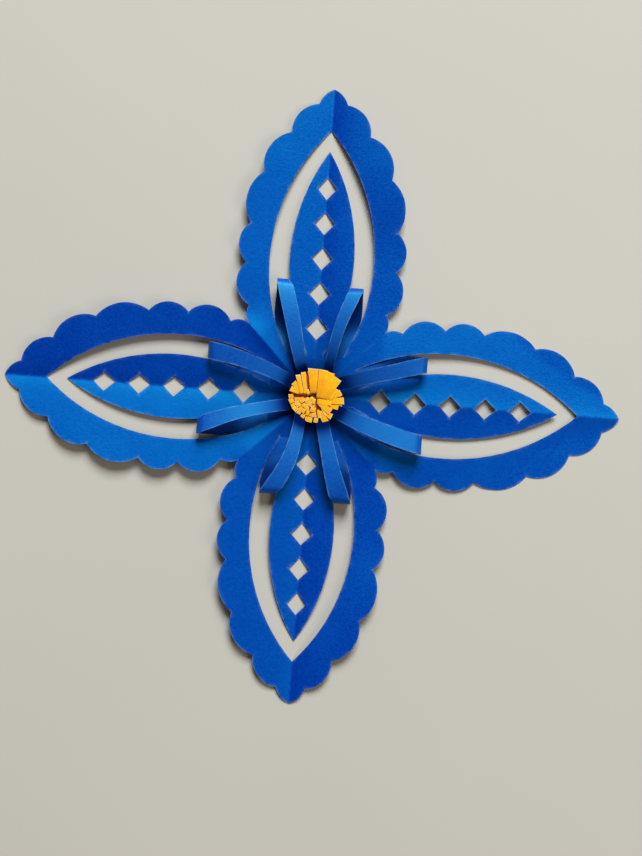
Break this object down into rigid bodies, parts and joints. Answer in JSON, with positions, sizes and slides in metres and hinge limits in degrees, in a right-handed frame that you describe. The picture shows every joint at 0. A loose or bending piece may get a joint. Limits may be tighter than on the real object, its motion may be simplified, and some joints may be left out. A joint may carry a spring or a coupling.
{
  "type": "paper snowflake star",
  "caption": "Flat four-petal paper star with scalloped petals, slotted leaf cut-outs, curled loops around the centre and a fringed paper flower.",
  "frame": {"origin": "middle of the star on the surface it lies on", "axes": "+Z out of the face, +Y along the top petal, +X along the right petal"},
  "size_m": [0.2899, 0.29, 0.013],
  "materials": {
    "blue_card": "matte",
    "blue_card_loops": "matte",
    "yellow_fringe": "matte",
    "orange_roll": "matte",
    "dried_glue": "satin"
  },
  "bodies": {
    "hub": {"centre_panel": "blue_card", "hub_top_left": "blue_card", "hub_top_right": "blue_card", "hub_left_upper": "blue_card", "hub_left_lower": "blue_card", "hub_bottom_left": "blue_card", "hub_bottom_right": "blue_card", "hub_right_upper": "blue_card", "hub_right_lower": "blue_card", "loop_top_left": "blue_card_loops", "loop_top_right": "blue_card_loops", "loop_left_upper": "blue_card_loops", "loop_left_lower": "blue_card_loops", "loop_bottom_left": "blue_card_loops", "loop_bottom_right": "blue_card_loops", "loop_right_upper": "blue_card_loops", "loop_right_lower": "blue_card_loops", "glue_pad": "dried_glue", "flower_coil": "orange_roll", "fringe_wide": "yellow_fringe", "fringe_middle": "yellow_fringe", "fringe_inner": "yellow_fringe", "fringe_eye": "yellow_fringe"},
    "top_petal": {"frame_top_left": "blue_card", "frame_top_right": "blue_card"},
    "left_petal": {"frame_left_upper": "blue_card", "frame_left_lower": "blue_card"},
    "bottom_petal": {"frame_bottom_left": "blue_card", "frame_bottom_right": "blue_card"},
    "right_petal": {"frame_right_upper": "blue_card", "frame_right_lower": "blue_card"},
    "top_leaf": {"leaf_top_left": "blue_card", "leaf_top_right": "blue_card"},
    "left_leaf": {"leaf_left_upper": "blue_card", "leaf_left_lower": "blue_card"},
    "bottom_leaf": {"leaf_bottom_left": "blue_card", "leaf_bottom_right": "blue_card"},
    "right_leaf": {"leaf_right_upper": "blue_card", "leaf_right_lower": "blue_card"}
  },
  "joints": [
    {"name": "top_petal_bend", "type": "hinge", "parent": "hub", "child": "top_petal", "pos_m": [0, 0.0323, 0.0043], "axis": [1, 0, 0], "range_deg": [-10, 45], "stiffness_Nm_per_rad": 0.02},
    {"name": "left_petal_bend", "type": "hinge", "parent": "hub", "child": "left_petal", "pos_m": [-0.0323, 0, 0.0043], "axis": [0, 1, 0], "range_deg": [-10, 45], "stiffness_Nm_per_rad": 0.02},
    {"name": "bottom_petal_bend", "type": "hinge", "parent": "hub", "child": "bottom_petal", "pos_m": [0, -0.0323, 0.0043], "axis": [-1, 0, 0], "range_deg": [-10, 45], "stiffness_Nm_per_rad": 0.02},
    {"name": "right_petal_bend", "type": "hinge", "parent": "hub", "child": "right_petal", "pos_m": [0.0323, 0, 0.004], "axis": [0, -1, 0], "range_deg": [-10, 45], "stiffness_Nm_per_rad": 0.02},
    {"name": "top_leaf_bend", "type": "hinge", "parent": "hub", "child": "top_leaf", "pos_m": [0, 0.02, 0.00015], "axis": [1, 0, 0], "range_deg": [-25, 10], "stiffness_Nm_per_rad": 0.006},
    {"name": "left_leaf_bend", "type": "hinge", "parent": "hub", "child": "left_leaf", "pos_m": [-0.02, 0, 0.00015], "axis": [0, 1, 0], "range_deg": [-25, 10], "stiffness_Nm_per_rad": 0.006},
    {"name": "bottom_leaf_bend", "type": "hinge", "parent": "hub", "child": "bottom_leaf", "pos_m": [0, -0.02, 0.00015], "axis": [-1, 0, 0], "range_deg": [-25, 10], "stiffness_Nm_per_rad": 0.006},
    {"name": "right_leaf_bend", "type": "hinge", "parent": "hub", "child": "right_leaf", "pos_m": [0.02, 0, 0.00365], "axis": [0, -1, 0], "range_deg": [-25, 10], "stiffness_Nm_per_rad": 0.006}
  ]
}
